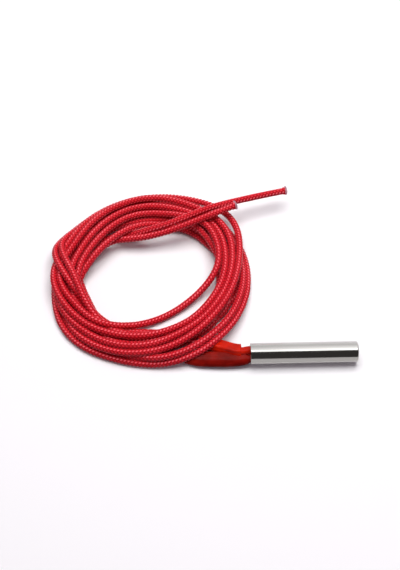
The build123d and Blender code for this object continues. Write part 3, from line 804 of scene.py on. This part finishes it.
for name, look in sleeveLooks.items():
    sleeveMaterials[name], tree, shader = startMaterial(name)
    clouds = grain(tree, scale=260, detail=3)
    setInputs(tree, shader, {
        "Base Color": blendColours(tree, spread(tree, clouds, 0.0, 1.0), *look["colours"]),
        "Roughness": spread(tree, grain(tree, scale=700, detail=2), 0.13, 0.20),
        "Specular IOR Level": look["gloss"],
        "Normal": bump(tree, grain(tree, scale=900, detail=3), strength=0.25, depth=0.00004)})


def drawnGraph(tree, value, points, top):  # a curve through the points, which lie between 0 and top
    node = addNode(tree, "ShaderNodeFloatCurve", {"Value": value})
    graph = node.mapping.curves[0]
    for i, (x, y) in enumerate(points):
        point = graph.points[i] if i < 2 else graph.points.new(x, y / top)
        point.location = (x, y / top)
    node.mapping.update()
    return times(tree, node.outputs[0], top)


def sleeveGroup(name, look):  # a flat sheet, rolled round the lead's line and joined at its seam
    tree, given = startTree(name, {"Start": float, "Length": float, "Radius": float, "Material": None})
    path = put(tree, "GeometryNodeMeshToCurve", {"Mesh": given["Geometry"]})
    sheet = put(tree, "GeometryNodeMeshGrid", {
        "Size X": given["Length"], "Size Y": 1.0,
        "Vertices X": sleeveSheet["points"][0], "Vertices Y": sleeveSheet["points"][1]})
    forth, sideways, _ = split(tree, put(tree, "GeometryNodeInputPosition"))
    along = plus(tree, calc(tree, "DIVIDE", forth, given["Length"]), 0.5)
    around = plus(tree, sideways, 0.5)
    section = drawnGraph(tree, around, look["section"], sleeveSheet["widestSection"])
    swell = drawnGraph(tree, along, look["swell"], 1.0)
    full = plus(tree, times(tree, calc(tree, "SUBTRACT", section, 1.0), swell), 1.0)
    place = plus(tree, given["Start"], times(tree, along, given["Length"]))
    sample = sampleCurve(tree, path, place)
    side = aim(tree, "NORMALIZE", aim(tree, "CROSS_PRODUCT", sample["Tangent"], (0, 0, 1)))
    up = aim(tree, "CROSS_PRODUCT", side, sample["Tangent"])
    radius, angle = times(tree, full, given["Radius"]), times(tree, around, math.tau)
    rolled = put(tree, "GeometryNodeSetPosition", {
        "Geometry": sheet, "Position": placeRound(tree, sample["Position"], side, up, radius, angle)})
    closed = put(tree, "GeometryNodeMergeByDistance", {"Geometry": rolled, "Distance": sleeveSheet["seam"]})
    endTree(tree, closed, given["Material"])
    return tree


for name, look in sleeves.items():
    made = grow(name, sleeveGroup(name, look), look["lead"]["lineMesh"].copy(), {
        "Start": look["start"], "Length": look["length"], "Radius": look["radius"],
        "Material": sleeveMaterials[look["skin"]]},
        wall=look["wall"])
    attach(made, "root")
    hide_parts(look["node"])
    look["piece"] = made
    print(name, len(made.data.polygons))
leadA["sleeves"] = [sleeves["sleeveAInner"]["piece"], sleeves["sleeveAOuter"]["piece"]]
leadB["sleeves"] = [sleeves["sleeveB"]["piece"]]


# Cut ends: frayed braid fibres round each tip, and the twisted strands of the conductor

cutEnds = {
    "fibres": {
        "count": 240, "ring": 0.00100, "length": 0.00072, "thickness": 0.00004, "seed": 7,
        "innerShare": 0.72,  # of the ring, where the innermost ones stand
        "sunk": 0.0003,  # how far inside the end they start
        "sideLean": 0.6, "outLean": 0.5, "inLean": 0.1,  # radians
        "shortest": 0.5, "longer": 0.6,  # shares of the length
        "bend": [(0, 0, 0), (0, 0, 0.4), (0.1, 0, 0.8), (0.3, 0, 1.1)],  # a fibre before it is scaled
        "pieces": 5, "sides": 4,
    },
    "strands": {
        "rings": [(1, 0.0), (6, 0.00016), (12, 0.00032)],  # strands in each ring, and its radius
        "radius": 0.00008, "length": 0.0035,
        "bare": 0.0007,  # the length that stands out of the lead
        "twist": 420.0,  # radians a metre
        "points": 16, "sides": 10, "oneSpot": 0.00001,
    },
    "fibreColours": (linear(255, 214, 222), linear(168, 70, 100)),
    "tipEdges": 5,  # edges at the line's end that give the way it points
}


def chance(tree, seed):  # a random value from 0 to 1 for each point
    node = addNode(tree, "FunctionNodeRandomValue", {2: 0.0, 3: 1.0, "Seed": seed}, data_type="FLOAT")
    return node.outputs[1]


def moveTo(tree, geometry, given):  # from the origin, where it stands up, to the end of a lead
    return put(tree, "GeometryNodeTransform", {
        "Geometry": geometry, "Translation": given["Place"], "Rotation": given["Turn"]})


def fibreGroup(look):
    tree, given = startTree("fibres", {
        "Count": int, "Ring": float, "Length": float, "Thickness": float, "Seed": int,
        "Place": tuple, "Turn": tuple, "Material": None})
    spots = put(tree, "GeometryNodePoints", {"Count": given["Count"]})
    first, second, third = (chance(tree, plus(tree, given["Seed"], i)) for i in range(3))
    angle = times(tree, first, math.tau)
    ringShare = plus(tree, look["innerShare"], times(tree, second, 1 - look["innerShare"]))
    ringRadius = times(tree, given["Ring"], ringShare)
    spots = put(tree, "GeometryNodeSetPosition", {"Geometry": spots, "Position": combine(
        tree, times(tree, ringRadius, calc(tree, "COSINE", angle)),
        times(tree, ringRadius, calc(tree, "SINE", angle)), -look["sunk"])})
    start, startHandle, endHandle, end = look["bend"]
    hair = put(tree, "GeometryNodeCurvePrimitiveBezierSegment", {
        "Resolution": look["pieces"], "Start": start, "Start Handle": startHandle,
        "End Handle": endHandle, "End": end})
    lean = combine(tree, times(tree, calc(tree, "SUBTRACT", third, 0.5), look["sideLean"]),
                   calc(tree, "SUBTRACT", times(tree, second, look["outLean"]), look["inLean"]), angle)
    size = times(tree, given["Length"], plus(tree, look["shortest"], times(tree, third, look["longer"])))
    hairs = put(tree, "GeometryNodeInstanceOnPoints", {
        "Points": spots, "Instance": hair, "Rotation": lean, "Scale": size})
    hairs = put(tree, "GeometryNodeRealizeInstances", {"Geometry": hairs})
    hairs = sweep(tree, hairs, given["Thickness"], look["sides"])
    endTree(tree, moveTo(tree, hairs, given), given["Material"])
    return tree


def strandGroup(look):
    tree, given = startTree("strands", {
        "Radius": float, "Length": float, "Twist": float, "Place": tuple, "Turn": tuple, "Material": None})
    bundle = addNode(tree, "GeometryNodeJoinGeometry")
    for count, ringSize in look["rings"]:
        ring = put(tree, "GeometryNodeMeshCircle", {"Vertices": max(count, 3), "Radius": ringSize})
        if count == 1:  # three points in one place, made one
            ring = put(tree, "GeometryNodeMergeByDistance", {"Geometry": ring, "Distance": look["oneSpot"]})
        tree.links.new(ring, bundle.inputs[0])
    wire = put(tree, "GeometryNodeCurvePrimitiveLine", {
        "Start": (0, 0, 0), "End": combine(tree, z=given["Length"])})
    wires = put(tree, "GeometryNodeInstanceOnPoints", {"Points": bundle.outputs[0], "Instance": wire})
    wires = put(tree, "GeometryNodeRealizeInstances", {"Geometry": wires})
    wires = put(tree, "GeometryNodeResampleCurve", {"Curve": wires, "Count": look["points"]})
    position = put(tree, "GeometryNodeInputPosition")
    turnBy = times(tree, split(tree, position)[2], given["Twist"])
    twisted = put(tree, "ShaderNodeVectorRotate", {
        "Vector": position, "Angle": turnBy}, rotation_type="Z_AXIS")
    wires = put(tree, "GeometryNodeSetPosition", {"Geometry": wires, "Position": twisted})
    wires = sweep(tree, wires, given["Radius"], look["sides"])
    endTree(tree, moveTo(tree, wires, given), given["Material"])
    return tree


fibreMaterial, tree, shader = startMaterial("cutFibre")
faded = spread(tree, grain(tree, scale=2600, detail=2), 0.0, 1.0)
setInputs(tree, shader, {
    "Base Color": blendColours(tree, faded, *cutEnds["fibreColours"]), "Roughness": 0.55,
    "Normal": bump(tree, grain(tree, scale=9000, detail=2), strength=0.3, depth=0.00001)})

fibreTree, strandTree = fibreGroup(cutEnds["fibres"]), strandGroup(cutEnds["strands"])
for lead, letter in ((leadA, "a"), (leadB, "b")):
    tip = Vector(lead["line"][-1])
    ahead = (tip - Vector(lead["line"][-1 - cutEnds["tipEdges"]])).normalized()
    turn = ahead.to_track_quat("Z", "Y").to_euler()
    look = cutEnds["fibres"]
    fibres = grow(lead["name"] + "Fibres", fibreTree, bpy.data.meshes.new("empty"), {
        "Count": look["count"], "Ring": look["ring"], "Length": look["length"],
        "Thickness": look["thickness"], "Seed": look["seed"],
        "Place": tip, "Turn": turn, "Material": fibreMaterial})
    look = cutEnds["strands"]
    strands = grow(lead["name"] + "Strands", strandTree, bpy.data.meshes.new("empty"), {
        "Radius": look["radius"], "Length": look["length"], "Twist": look["twist"],
        "Place": tip - ahead * (look["length"] - look["bare"]), "Turn": turn,
        "Material": bpy.data.materials["tinnedCopper"]})
    for made in (fibres, strands):
        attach(made, "root")
    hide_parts(f"conductor_{letter}_tip")
    lead["cutEnd"] = [fibres, strands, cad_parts[f"insulation_{letter}_tip"]]
    print(lead["name"], "fibres", len(fibres.data.polygons), "strands", len(strands.data.polygons))
